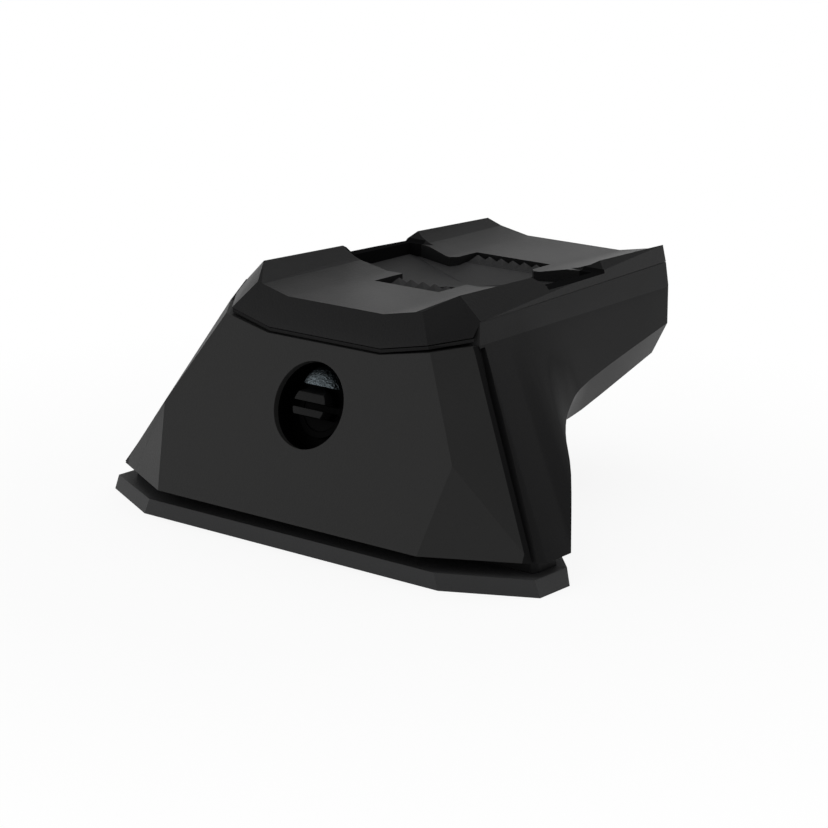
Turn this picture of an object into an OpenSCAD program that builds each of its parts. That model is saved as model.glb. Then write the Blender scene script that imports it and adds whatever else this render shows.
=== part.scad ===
// Roof bar foot: a tower that clamps onto a base pad on the roof and carries a roof bar in the
// saddle of its arm. Lengths are in millimetres.
// X runs across the bar, Y runs inward along the bar and Z is up.
// Depths below are measured from the pad's front edge; from_front() puts the origin at the middle
// of the pad's underside. Profiles are written as [across or depth, height].

/* [Base pad] */
// Width of the pad across the bar
pad_w = 152; // [144:1:164]
// Width of the pad's straight front edge
pad_front_w = 104.8; // [96:0.2:112]
// Width of the pad's straight rear edge
pad_rear_w = 88; // [80:1:100]
// Depth of the pad along the bar
pad_d = 58; // [56:1:66]
// Thickness of the pad
pad_t = 4.4; // [3:0.2:6]
// Depth at which the front corners meet the pad's ends
pad_corner_y = 11.9; // [9:0.1:14]
// Depth at which the rear corners leave the pad's ends
pad_end_y = 24.5; // [22:0.5:28]
// Draft of the pad's ends from the underside to the top
pad_draft = 1.7; // [0.5:0.1:2.5]
// Width of a tread groove under the pad
tread_w = 2.4; // [1.5:0.1:3]
// Depth of a tread groove under the pad
tread_t = 0.8; // [0.4:0.1:1.2]
// Distance between tread grooves
tread_pitch = 9; // [7:1:14]

/* [Base shoe] */
// Thickness of the shoe's plate
shoe_t = 3; // [2.5:0.5:3]
// Width of the shoe's clamping rail
rail_w = 28; // [24:1:32]
// Depth of the rail's neck
rail_neck_d = 8; // [6:1:9]
// Reach of the rail's lip past its neck
rail_lip = 3; // [2:0.5:3.5]
// Height of the gap under the rail's lip
rail_gap = 3.6; // [3:0.2:4]
// Thickness of the rail's lip
rail_lip_t = 3; // [2:0.5:3]
// Depth of the middle of the rail
rail_y = 42; // [41:0.5:43]
// Distance from a roof bolt to the pad's end
bolt_inset = 28; // [24:1:34]
// Radius of a roof bolt's clearance hole
bolt_hole_r = 3.3; // [2.7:0.1:4.3]

/* [Tower and arm] */
// Height of the shadow gap between the pad and the tower
foot_gap = 3.7; // [3:0.1:5]
// How far the tower's foot stands in from the pad's ends
foot_inset = 1.2; // [0.6:0.1:3]
// Width of the tower's shoulders at the front
shoulder_w = 87.6; // [84:0.2:92]
// Height of the shoulders at the front
shoulder_z = 57.5; // [56:0.1:58]
// Width across the seam under the saddle at the front
seam_w = 82.6; // [81:0.2:83]
// Height of the seam at the front
seam_z = 62.8; // [62.5:0.1:63]
// Depth of the arm's tip
reach = 128; // [122:1:140]
// Width of the arm at the tip, across the shoulders
tip_w = 68.2; // [66:0.2:70]
// Thickness of the tower's outer walls
body_wall = 3.2; // [2.6:0.1:4]

/* [Front cover] */
// Lean of the cover's main face from upright, in degrees
face_lean = 20.3; // [18:0.1:21]
// Depth of the main face at its foot
face_foot_y = -0.9; // [-2:0.1:0]
// Depth of the parting line at its foot
part_foot_y = 11.4; // [11:0.1:12]
// Lean of the parting line from upright, in degrees
part_lean = 17.7; // [17:0.1:18.5]
// Gap between the cover and the tower
part_gap = 0.4; // [0.3:0.05:0.6]
// Width of the main face at its foot
face_foot_w = 92.1; // [86:0.1:96]
// Width of the main face at its widest
face_mid_w = 101.8; // [98:0.1:104]
// Height of the main face's widest place
face_mid_z = 31; // [27:0.5:35]
// Wall of the cover
cover_wall = 2.6; // [2:0.1:3]
// Width of the shadow groove on the cover's side of the parting line
groove_cover = 2.3; // [1.5:0.1:3]
// Width of the shadow groove on the tower's side of the parting line
groove_body = 2.2; // [1.5:0.1:3]
// Depth of the shadow groove
groove_t = 1.2; // [0.6:0.1:1.4]
// How far the cover may be pulled off on its pegs
cover_travel = 28; // [20:1:36]
// Radius of the round lock opening
lock_open_r = 11.9; // [11.4:0.1:12.4]
// Height of the lock opening's middle
lock_z = 37.9; // [37:0.1:39]

/* [Lock] */
// Radius of the lock plug
plug_r = 6.3; // [5.8:0.1:6.6]
// Running clearance of the plug in its sleeve
plug_clear = 0.05; // [0.03:0.01:0.09]
// Wall of the sleeve round the plug
sleeve_wall = 1.7; // [1.4:0.1:2]
// Length of the two grip ribs in front of the plug
rib_l = 5.9; // [4.6:0.1:6.1]
// Radius across the ends of the grip ribs
rib_r = 5.5; // [5:0.1:5.5]
// Height of the upper grip rib
rib_h = 2.4; // [2:0.1:2.6]
// Slot between the grip ribs
rib_slot = 1.8; // [1.4:0.1:2.2]
// Reach of the locking cam from the lock's axis
cam_r = 15; // [14:0.1:15.4]
// Width of the locking cam
cam_w = 8; // [6:0.5:9]
// Thickness of the locking cam
cam_t = 2.4; // [2:0.1:3]

/* [Base clamp] */
// Radius of the clamp screw
screw_r = 3; // [2.5:0.5:3]
// Rise of the clamp screw's thread per turn
screw_pitch = 1.25; // [1:0.25:1.5]
// Turns that free the clamp
screw_turns = 4; // [3:1:4]
// Height of the clamp screw above the roof
screw_z = 18.2; // [18.2:0.1:18.6]
// Width of the sliding hook
hook_w = 24; // [20:1:27]
// Running clearance of the clamp screw in its holes
screw_clear = 0.05; // [0.03:0.01:0.08]

/* [Saddle] */
// Height of the saddle's floor
floor_z = 63.2; // [63:0.1:64]
// Width of the saddle's flat floor
floor_w = 33.6; // [28:0.2:38]
// Width across the feet of the lips
slope_w = 53.6; // [50:0.2:56]
// Rise of the floor from its flat to the feet of the lips
slope_rise = 1.8; // [1:0.1:2.2]
// Width across the lips at the front
lip_front_w = 69; // [67:0.2:70]
// Height of the lips at the front
lip_front_z = 69; // [68.5:0.1:70]
// Width across the lips at the rear
lip_rear_w = 63.8; // [63:0.2:65]
// Height of the lips at the rear
lip_rear_z = 66.7; // [66.5:0.1:68]
// Depth of the front pad's rear edge
recess_y0 = 63; // [61:0.5:65]
// Depth of the rear pad's front edge at its ends
recess_y1 = 91.8; // [91:0.2:93]
// How far that edge bows forward to the middle
recess_bow = 3.4; // [2:0.2:4]
// Height of the low walls beside the recess
low_wall_z = 65; // [64.5:0.1:65.5]

/* [Grip plate] */
// Distance from tooth to tooth
tooth_pitch = 4.2; // [3.8:0.1:4.4]
// Height of a tooth
tooth_h = 1.9; // [1.2:0.1:2.2]
// Teeth in the front row
front_teeth = 5; // [3:1:5]
// Teeth in the rear row
rear_teeth = 6; // [4:1:6]
// Radius of the clearance hole for the bar's bolt
bar_hole_r = 4.25; // [3.3:0.05:4.4]

/* [Hidden] */
$fn = 64;
eps = 0.01;

// Heights and depths that several pieces share
foot_z = pad_t + foot_gap;
skirt_in = 3.5;
shoe_top_z = pad_t + shoe_t;
seat_gap = 0.3;
function face_y(z) = face_foot_y + tan(face_lean) * (z - foot_z);
function part_y(z) = part_foot_y + tan(part_lean) * (z - foot_z);

// Rails of the tower and arm: half width, depth, height
foot_x = pad_w / 2 - foot_inset;
slack_y = part_gap;
front_z = [seam_z, shoulder_z, foot_z];
front_x = [seam_w / 2, shoulder_w / 2, foot_x - 2.4];
tip_seam_z = seam_z - 1;
tip_shoulder_z = shoulder_z - 2.1;
tip_low_z = shoulder_z - 13.5;
tip_keel_z = shoulder_z - 23;
rail_seam = [
    [front_x[0], part_y(front_z[0]) + slack_y + 1.7, front_z[0]],
    [front_x[0] - 0.3, 34, seam_z],
    [front_x[0] - 0.9, 40, seam_z - 0.1],
    [front_x[0] - 1.5, 47, seam_z - 0.15],
    [front_x[0] - 2.1, 55, seam_z - 0.25],
    [front_x[0] - 2.9, 65, seam_z - 0.35],
    [front_x[0] - 4.3, 82, seam_z - 0.5],
    [tip_w / 2 - 1, reach, tip_seam_z]];
rail_shoulder = [
    [front_x[1], part_y(front_z[1]) + slack_y, front_z[1]],
    [front_x[1] - 0.2, 30.4, shoulder_z],
    [front_x[1] - 1.1, 40, shoulder_z - 0.2],
    [front_x[1] - 1.8, 47, shoulder_z - 0.4],
    [front_x[1] - 2.6, 55, shoulder_z - 0.5],
    [front_x[1] - 3.6, 65, shoulder_z - 0.8],
    [front_x[1] - 5.2, 82, shoulder_z - 1.1],
    [tip_w / 2, reach, tip_shoulder_z]];
rail_low = [
    [front_x[2], part_y(front_z[2]) + slack_y, foot_z],
    [foot_x + 0.2, 16.2, foot_z],
    [foot_x, 26.5, foot_z],
    [foot_x - 9.6, 39.2, foot_z + 16.3],
    [foot_x - 17.6, 47.5, foot_z + 24.2],
    [foot_x - 27.5, 63, foot_z + 26.6],
    [foot_x - 34.8, 82, foot_z + 29],
    [tip_w / 2, reach, tip_low_z]];
rail_keel = [
    [foot_x - 22, part_y(foot_z - 0.3) + slack_y, foot_z - 0.3],
    [foot_x - 20, 20, foot_z],
    [foot_x - 24, 38, foot_z],
    [foot_x - 30.8, pad_d - 1, foot_z],
    [foot_x - 34, pad_d + 1, foot_z + 9],
    [foot_x - 37, pad_d + 7, foot_z + 16.8],
    [foot_x - 39, 84, foot_z + 19.3],
    [tip_w / 2 - 4.8, reach - 0.5, tip_keel_z]];

// A smooth run of points through the corners of a rail after the first two
function blend_point(p0, p1, p2, p3, t) = 0.5 * (2 * p1 + (p2 - p0) * t
    + (2 * p0 - 5 * p1 + 4 * p2 - p3) * t * t + (3 * p1 - p0 - 3 * p2 + p3) * t * t * t);
smooth_steps = 4;
function smooth_rail(r) = let (n = len(r)) [
    r[0], r[1],
    for (i = [2 : n - 2], s = [0 : smooth_steps - 1])
        blend_point(r[i == 2 ? 2 : i - 1], r[i], r[i + 1], r[min(i + 2, n - 1)], s / smooth_steps),
    r[n - 1]];
function left_of(p) = [-p[0], p[1], p[2]];
// Rails between two others, so that a twisted side turns evenly
function rails_between(r0, r1, count) = [for (k = [1 : count - 1])
    [for (j = [0 : len(r0) - 1]) r0[j] + (r1[j] - r0[j]) * k / count]];

// A closed skin through rails that each hold one point per station
module skin(rails) {
    n = len(rails);
    m = len(rails[0]);
    points = [for (j = [0 : m - 1]) for (i = [0 : n - 1]) rails[i][j]];
    sides = [for (j = [0 : m - 2]) for (i = [0 : n - 1])
        let (a = j * n + i, b = j * n + (i + 1) % n, c = a + n, d = b + n)
        each [[a, d, b], [a, c, d]]];
    ends = [for (i = [0 : n / 2 - 2])
        let (a = i, b = i + 1, c = n - 2 - i, d = n - 1 - i, k = (m - 1) * n)
        each [[a, b, d], [b, c, d], [k + a, k + d, k + b], [k + b, k + d, k + c]]];
    polyhedron(points, concat(sides, ends), convexity = 6);
}

shoulder_run = smooth_rail(rail_shoulder);
low_run = smooth_rail(rail_low);
keel_run = smooth_rail(rail_keel);
half_rails = concat([smooth_rail(rail_seam), shoulder_run], rails_between(shoulder_run, low_run, 5),
    [low_run], rails_between(low_run, keel_run, 2), [keel_run]);

// The convex body of a list of points
module hull_of(points) hull() polyhedron(points, [[for (i = [0 : len(points) - 1]) i]]);
function mirrored(points) = concat(points, [for (p = points) left_of(p)]);

module from_front() translate([0, -pad_d / 2, 0]) children();
module both_sides() for (side = [0, 1]) mirror([side, 0, 0]) children();
// Extrudes an outline of [across, height] along the depth, from y0 to y1
module along_y(y0, y1) translate([0, y1, 0]) rotate([90, 0, 0]) linear_extrude(y1 - y0) children();
// Extrudes an outline of [depth, height] across, from x0 to x1
module along_x(x0, x1) translate([x0, 0, 0]) rotate([90, 0, 90]) linear_extrude(x1 - x0) children();
module upright(z0, z1) translate([0, 0, z0]) linear_extrude(z1 - z0) children();
module rod_y(y0, y1, r, z, x = 0) translate([x, y1, z]) rotate([90, 0, 0]) cylinder(h = y1 - y0, r = r);

// Everything from one depth to another behind the parting line, up to the shoulders
module along_parting(y0, y1) along_x(-pad_w, pad_w) polygon([
    [part_y(foot_z - 1) + y0, foot_z - 1], [part_y(foot_z - 1) + y1, foot_z - 1],
    [part_y(shoulder_z - 0.6) + y1, shoulder_z - 0.6], [part_y(shoulder_z - 0.6) + y0, shoulder_z - 0.6]]);

// Base pad and shoe
function pad_outline(inset_x, inset_y) = let (
    w = pad_w / 2 - inset_x, f = pad_front_w / 2 - inset_x, r = pad_rear_w / 2 - inset_x)
    [[-f, inset_y], [f, inset_y], [w, pad_corner_y], [w, pad_end_y + 0.6 * inset_x],
     [r, pad_d - inset_y], [-r, pad_d - inset_y], [-w, pad_end_y + 0.6 * inset_x], [-w, pad_corner_y]];
bolt_y = 32;
bolt_span = pad_w - 2 * bolt_inset;

// Outline of the shoe, and of the tower's foot that stands on it in the shadow gap
module shoe_outline() offset(delta = -skirt_in) polygon(foot_plan());

module bolt_holes(z0, z1) for (side = [-1, 1])
    translate([side * bolt_span / 2, bolt_y, z0]) cylinder(h = z1 - z0, r = bolt_hole_r);

module base_pad() color([0.16, 0.16, 0.17]) from_front() difference() {
    hull() {
        upright(0, eps) polygon(pad_outline(0, 0));
        upright(pad_t - eps, pad_t) polygon(pad_outline(pad_draft, 0.4));
    }
    bolt_holes(-1, pad_t + 1);
    for (x = [-floor(pad_front_w / 2 / tread_pitch) : floor(pad_front_w / 2 / tread_pitch)])
        if (abs(abs(x * tread_pitch) - bolt_span / 2) > bolt_hole_r + tread_w)
            translate([x * tread_pitch - tread_w / 2, 6, -1]) cube([tread_w, pad_d - 12, tread_t + 1]);
}

neck_z = shoe_top_z + rail_gap;
rail_top_z = neck_z + rail_lip_t;
module base_shoe() color([0.62, 0.63, 0.65]) from_front() difference() {
    union() {
        upright(pad_t, shoe_top_z) shoe_outline();
        along_x(-rail_w / 2, rail_w / 2) polygon([
            [rail_y - rail_neck_d / 2, shoe_top_z - 0.5], [rail_y + rail_neck_d / 2, shoe_top_z - 0.5],
            [rail_y + rail_neck_d / 2, neck_z], [rail_y + rail_neck_d / 2 + rail_lip, neck_z],
            [rail_y + rail_neck_d / 2 + rail_lip, rail_top_z - 0.8],
            [rail_y + rail_neck_d / 2 + rail_lip - 0.8, rail_top_z],
            [rail_y - rail_neck_d / 2 - rail_lip + 0.8, rail_top_z],
            [rail_y - rail_neck_d / 2 - rail_lip, rail_top_z - 0.8],
            [rail_y - rail_neck_d / 2 - rail_lip, neck_z], [rail_y - rail_neck_d / 2, neck_z]]);
    }
    bolt_holes(pad_t - 1, shoe_top_z + 1);
}

// Tower and arm
deck_z = 58.6;
deck_in = 2.6;
tray_y0 = 26;
plate_z = 56;
arm_roof_z = 51;
plate_rim = 1.6;
plate_w = tip_w - 2 * plate_rim;
function seam_x(y) = seam_w / 2 - (seam_w / 2 - tip_w / 2 + 1) * (y - 30) / (reach - 30);
module tray_plan(grow) polygon([
    [seam_x(tray_y0) - deck_in + grow, tray_y0 - 8 - grow], [seam_x(reach) - deck_in + grow, reach - deck_in + grow],
    [-seam_x(reach) + deck_in - grow, reach - deck_in + grow], [-seam_x(tray_y0) + deck_in - grow, tray_y0 - 8 - grow]]);

// Pocket behind the cover that takes the lock
pocket_w = 37;
pocket_z0 = 25.4;
pocket_z1 = 48.6;
pocket_y1 = 36;

// Depths of the clamp
wall_y0 = 16.6;
wall_y1 = 22;
hook_y0 = rail_y - rail_neck_d / 2 - rail_lip - 5.7;
hook_travel = screw_turns * screw_pitch;
hook_top_z = screw_z + screw_r + 2;
channel_y0 = wall_y1;

module side_pockets() both_sides() difference() {
    union() {
        upright(shoe_top_z - 1, shoulder_z - 13) polygon([[hook_w / 2 + 10, 38], [shoulder_w / 2 - 8, 38],
            [shoulder_w / 2 - 9, 50], [hook_w / 2 + 14, 50], [hook_w / 2 + 10, 46]]);
        upright(shoe_top_z - 1, foot_z + 16) polygon([[hook_w / 2 + 10, 28], [foot_x - 15, 28],
            [foot_x - 32, 44], [hook_w / 2 + 10, 46]]);
    }
    translate([bolt_span / 2 - 12, 0, 0]) cube([1.8, pad_d, shoulder_z]);
}

module arm_pockets() difference() {
    upright(0, arm_roof_z) polygon([
        [-tip_w / 2 + 9, reach - body_wall - 1], [tip_w / 2 - 9, reach - body_wall - 1],
        [foot_x - 43, pad_d + 8], [-foot_x + 43, pad_d + 8]]);
    translate([-1, pad_d, 0]) cube([2, reach - pad_d, arm_roof_z + 1]);
    for (y = [82, 98, 114]) translate([-shoulder_w / 2, y, 0]) cube([shoulder_w, 1.8, arm_roof_z + 1]);
    for (side = [-1, 1]) {
        translate([side * cap_screw_rear[0], cap_screw_rear[1], 0]) cylinder(h = arm_roof_z + 1, r = 5);
        translate([side * grip_screw_at[0], grip_screw_at[1], 0]) cylinder(h = arm_roof_z + 1, r = 5);
    }
    translate([0, bar_hole_y, 0]) cylinder(h = arm_roof_z + 1, r = 12);
}

// The strip of the tower that shows between the cover and the saddle
cap_low_w = 39.2;
cap_low_z = 55.2;
cap_corner = [34.5, 17.8, 58.1];
cap_side_low = [41.7, 27.5, 59.4];
strip_t = 0.9;
strip_gap = 0.3;
module strip() intersection() {
    along_y(face_y(cap_low_z) - 2, part_y(seam_z) + 1) polygon(concat(
        [for (p = strip_line(strip_gap)) p], [for (i = [5 : -1 : 0]) strip_line(strip_gap + strip_t)[i]]));
    upright(cap_low_z - 5, seam_z) polygon([[cap_low_w / 2, 16.7], [cap_corner[0], 18.1],
        [cap_side_low[0], cap_side_low[1] + 0.4], [cap_side_low[0], 31], [-cap_side_low[0], 31],
        [-cap_side_low[0], cap_side_low[1] + 0.4], [-cap_corner[0], 18.1], [-cap_low_w / 2, 16.7]]);
}
function strip_line(drop) = [[-cap_side_low[0], cap_side_low[2] - drop], [-cap_corner[0], cap_corner[2] - drop],
    [-cap_low_w / 2, cap_low_z - drop], [cap_low_w / 2, cap_low_z - drop],
    [cap_corner[0], cap_corner[2] - drop], [cap_side_low[0], cap_side_low[2] - drop]];

peg_r = 2.5;
boss_r = peg_r + 1.2;
peg_x = 36;
peg_z = [16, 46];
peg_l = 9;

module foot_body() color([0.13, 0.13, 0.14]) from_front() difference() {
    union() {
        difference() {
            skin(concat(half_rails, [for (i = [len(half_rails) - 1 : -1 : 0]) [for (p = half_rails[i]) left_of(p)]]));
            upright(deck_z, seam_z + 5) tray_plan(0);
            arm_pockets();
        }
        // Foot that stands on the shoe inside the shadow gap
        upright(shoe_top_z, foot_z + 2) shoe_outline();
        strip();
    }
    side_pockets();
    // Shadow groove beside the cover
    difference() {
        along_parting(-1, slack_y + groove_body);
        along_y(-10, 60) polygon([for (p = [[1, 0], [1, 1], [-1, 1], [-1, 0]])
            [p[0] * (cover_side_x[p[1]] - groove_t), p[1] ? shoulder_z : foot_z]]);
    }
    // Pocket for the grip plate
    upright(plate_z, deck_z + 1) grip_outline(0.3);
    translate([0, bar_hole_y, 0]) cylinder(h = plate_z + 1, r = bar_hole_r);
    translate([0, bar_hole_y, -1]) cylinder(h = arm_roof_z - 0.4 + 1, r = nut_af / 2 / cos(30) + 0.15, $fn = 6);
    // Lock pocket and the seat of its keeper
    translate([-pocket_w / 2, 0, pocket_z0]) cube([pocket_w, pocket_y1, pocket_z1 - pocket_z0]);
    at_lock() translate([0, 0, cup_floor - cup_floor_t - sleeve_nut_t - 0.6]) cylinder(h = 30, r = sleeve_nut_r + 0.6);
    at_lock() translate([keeper_x0, -keeper_h / 2 - 0.2, keeper_z0]) cube([keeper_l + 0.2, keeper_h + 0.4, 30]);
    at_lock() for (y = [-1, 1]) translate([keeper_screw_x, y * keeper_screw_y, keeper_z0 - 9]) cylinder(h = 12, r = 1.6);
    // Clamp channel, screw hole and washer seat
    translate([-hook_w / 2 - seat_gap, channel_y0, shoe_top_z - 1]) cube([hook_w + 2 * seat_gap,
        rail_y - rail_neck_d / 2 - channel_y0 + 16, hook_top_z + seat_gap - shoe_top_z + 1]);
    translate([-rail_w / 2 - seat_gap, rail_y - rail_neck_d / 2 - rail_lip - seat_gap, shoe_top_z - 1])
        cube([rail_w + 2 * seat_gap, rail_neck_d + rail_lip + 2 * seat_gap, rail_top_z + seat_gap - shoe_top_z + 1]);
    translate([-rail_w / 2 - seat_gap, rail_y, neck_z - seat_gap])
        cube([rail_w + 2 * seat_gap, rail_neck_d / 2 + rail_lip + seat_gap, rail_lip_t + 2 * seat_gap]);
    rod_y(0, wall_y1 + 1, screw_r + screw_clear, screw_z);
    rod_y(0, wall_y0, washer_r + 1, screw_z);
    // Peg holes and screw holes
    for (x = [-1, 1], z = peg_z) rod_y(part_y(z) - 2, part_y(z) + peg_l + 2, peg_r + seat_gap, z, x * peg_x);
    for (side = [-1, 1]) {
        translate([side * cap_screw_rear[0], cap_screw_rear[1], 0]) screw_way(arm_roof_z - arm_t, deck_z);
        translate([side * cap_screw_front[0], cap_screw_front[1], 0]) screw_way(deck_z - deck_t, deck_z);
        translate([side * grip_screw_at[0], grip_screw_at[1], 0]) screw_way(arm_roof_z - arm_t, plate_z);
    }
}
function foot_plan() = [[-front_x[2], rail_low[0][1]], [front_x[2], rail_low[0][1]],
    [foot_x + 0.2, 16.2], [foot_x, 26.5], [foot_x - 30.8, pad_d - 1], [-foot_x + 30.8, pad_d - 1],
    [-foot_x, 26.5], [-foot_x - 0.2, 16.2]];
// Clearance hole of a screw with room below for its head
module screw_way(head_z, top_z) {
    cylinder(h = top_z + 1, r = small_r + 0.3);
    cylinder(h = head_z, r = small_head_r + 0.3);
}

// Saddle
cap_top_front = [29, 22.4, 65.3];
lip_front_y = 31;
cap_seat = 0.1;
groove_y1 = recess_y1 + 1.6;
module saddle_cap() color([0.17, 0.17, 0.18]) from_front() difference() {
    hull_of(mirrored([[cap_low_w / 2, 16.4, cap_low_z], cap_corner, cap_side_low,
        [seam_w / 2, 31.4, seam_z], [tip_w / 2 - 1, reach, tip_seam_z], cap_top_front,
        [lip_front_w / 2, lip_front_y, lip_front_z], [lip_rear_w / 2, reach, lip_rear_z]]));
    cap_floor_cut();
    cap_lip_cut();
    // Walls of the tower beside the tray
    difference() {
        along_x(-80, 80) polygon([[part_y(seam_z) - 1.6, 40], [reach + 5, 40], [reach + 5, tip_seam_z + cap_seat],
            [31.4, seam_z + cap_seat], [part_y(shoulder_z) + 0.2, cap_side_low[2] - 0.1]]);
        upright(0, 100) tray_plan(-0.2);
    }
    translate([-80, part_y(shoulder_z) - 0.4, 40]) cube([160, reach, deck_z - 40]);
    // Recess between the pads and the low walls beside it
    upright(40, 90) grip_outline(0.3);
    translate([-80, 0, 0]) along_x(0, 160) polygon([[recess_y0, lip_front_z + 1], [recess_y0, lip_front_z - 0.6],
        [recess_y0 + 4.2, low_wall_z], [groove_y1, low_wall_z - 0.4], [groove_y1 + 2.5, lip_rear_z + 0.9],
        [groove_y1 + 2.5, lip_front_z + 1]]);
    for (side = [-1, 1], at = [cap_screw_rear, cap_screw_front])
        translate([side * at[0], at[1], deck_z - 1]) cylinder(h = cap_bite + 2, r = small_r);
}
module cap_floor_cut() along_y(0, reach + 1) polygon([[-floor_w / 2, floor_z], [floor_w / 2, floor_z],
    [slope_w / 2, floor_z + slope_rise], [slope_w / 2, 90], [-slope_w / 2, 90], [-slope_w / 2, floor_z + slope_rise]]);
module cap_lip_cut() both_sides() hull() {
    along_y(lip_front_y - 14, lip_front_y - 14 + eps) polygon([[slope_w / 2 - eps, floor_z + slope_rise],
        [lip_front_w / 2 + 0.4, lip_front_z + 0.3], [lip_front_w / 2, 90], [slope_w / 2 - eps, 90]]);
    along_y(reach + 1, reach + 1 + eps) polygon([[slope_w / 2 - eps, floor_z + slope_rise],
        [lip_rear_w / 2, lip_rear_z], [lip_rear_w / 2, 90], [slope_w / 2 - eps, 90]]);
}

// Grip plate
front_row_w = front_teeth * tooth_pitch;
rear_row_w = rear_teeth * tooth_pitch;
front_row_y = 58;
rear_row_y = 96;
notch_y0 = 50.8;
notch_y1 = 99;
bar_hole_y = 68.5;
module grip_outline(grow) offset(delta = grow) polygon([
    [-front_row_w / 2 - 0.6, notch_y0 + 0.3], [front_row_w / 2 + 0.6, notch_y0 + 0.3],
    [front_row_w / 2 + 0.6, recess_y0 + 0.3], [plate_w / 2, recess_y0 + 0.3],
    [plate_w / 2, recess_y1], [plate_w / 2 - 4, recess_y1], [plate_w / 3, recess_y1 - recess_bow / 2],
    [rear_row_w / 2 + 2.4, recess_y1 - recess_bow], [rear_row_w / 2 + 0.4, recess_y1 - recess_bow + 2],
    [rear_row_w / 2 + 0.4, notch_y1 - 0.3], [-rear_row_w / 2 - 0.4, notch_y1 - 0.3],
    [-rear_row_w / 2 - 0.4, recess_y1 - recess_bow + 2], [-rear_row_w / 2 - 2.4, recess_y1 - recess_bow],
    [-plate_w / 3, recess_y1 - recess_bow / 2], [-plate_w / 2 + 4, recess_y1],
    [-plate_w / 2, recess_y1], [-plate_w / 2, recess_y0 + 0.3],
    [-front_row_w / 2 - 0.6, recess_y0 + 0.3]]);
dish_r = 240;
dish_z = 59.1;
ramp_y = 77.5;
ramp_z = floor_z - tooth_h - 0.1;
module tooth_row(count, y, z) for (i = [0 : count - 1])
    translate([(i - (count - 1) / 2) * tooth_pitch, y, z - eps]) rotate(45)
        cylinder(h = tooth_h, r1 = (tooth_pitch - 0.1) / sqrt(2), r2 = 0.2, $fn = 4);
module grip_plate() color([0.22, 0.22, 0.23]) from_front() difference() {
    union() {
        difference() {
            upright(plate_z, floor_z) grip_outline(0);
            translate([0, reach, dish_z + dish_r]) rotate([90, 0, 0]) cylinder(h = reach, r = dish_r, $fn = 720);
        }
        for (row = [[front_row_w, notch_y0 + 0.3, front_row_y + 2.2], [rear_row_w, rear_row_y - 2.4, notch_y1 - 0.3]])
            translate([-row[0] / 2, row[1], plate_z]) cube([row[0], row[2] - row[1], floor_z - tooth_h - plate_z]);
        // Ramp that rises from the dish to the rear teeth
        intersection() {
            upright(plate_z, ramp_z + 1) grip_outline(0);
            hull_of(mirrored([[0, ramp_y, dish_z - 0.2], [rear_row_w / 2, ramp_y + 5.4, dish_z + 0.2],
                [plate_w / 2 - 3, recess_y1, dish_z + 1.9], [rear_row_w / 2, rear_row_y - 2.4, ramp_z],
                [0, rear_row_y, ramp_z], [plate_w / 2 - 3, recess_y1, plate_z], [0, ramp_y, plate_z],
                [0, rear_row_y, plate_z]]));
        }
        tooth_row(front_teeth, front_row_y, floor_z - tooth_h);
        tooth_row(rear_teeth, rear_row_y, floor_z - tooth_h);
    }
    translate([0, bar_hole_y, plate_z - 1]) cylinder(h = 20, r = bar_hole_r);
    for (side = [-1, 1]) translate([side * grip_screw_at[0], grip_screw_at[1], plate_z - 1]) cylinder(h = 3.4, r = small_r);
}

// Small screws: driven from below, [across, depth]
small_r = 1.9;
small_head_r = 3.6;
small_head_h = 2.4;
small_l = 12;
cap_screw_front = [27, 40];
cap_screw_rear = [19, reach - 22];
grip_screw_at = [20, 75];
module small_screw(x, y, seat_z, length) color([0.55, 0.56, 0.58]) from_front() translate([x, y, seat_z]) difference() {
    union() {
        cylinder(h = length, r = small_r);
        translate([0, 0, -small_head_h]) cylinder(h = small_head_h, r = small_head_r);
    }
    translate([0, 0, -small_head_h - 1]) cylinder(h = 2.4, r = 1.7, $fn = 6);
}
cap_bite = small_l - 9;
deck_t = 6;
arm_t = 2;
module cap_screw(side, at, seat_z) small_screw(side * at[0], at[1], seat_z, deck_z - seat_z + cap_bite);
module grip_screw(side) small_screw(side * grip_screw_at[0], grip_screw_at[1], arm_roof_z - arm_t,
    plate_z - arm_roof_z + 2 * arm_t);
module cap_screw_front_left() cap_screw(-1, cap_screw_front, deck_z - deck_t);
module cap_screw_front_right() cap_screw(1, cap_screw_front, deck_z - deck_t);
module cap_screw_rear_left() cap_screw(-1, cap_screw_rear, arm_roof_z - arm_t);
module cap_screw_rear_right() cap_screw(1, cap_screw_rear, arm_roof_z - arm_t);
module grip_screw_left() grip_screw(-1);
module grip_screw_right() grip_screw(1);

nut_af = 13;
nut_h = 6.5;
module bar_nut() color([0.6, 0.61, 0.63]) from_front() translate([0, bar_hole_y, arm_roof_z - 0.4 - nut_h]) difference() {
    cylinder(h = nut_h, r = nut_af / 2 / cos(30), $fn = 6);
    translate([0, 0, -1]) cylinder(h = nut_h + 2, r = 3.4);
}

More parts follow.
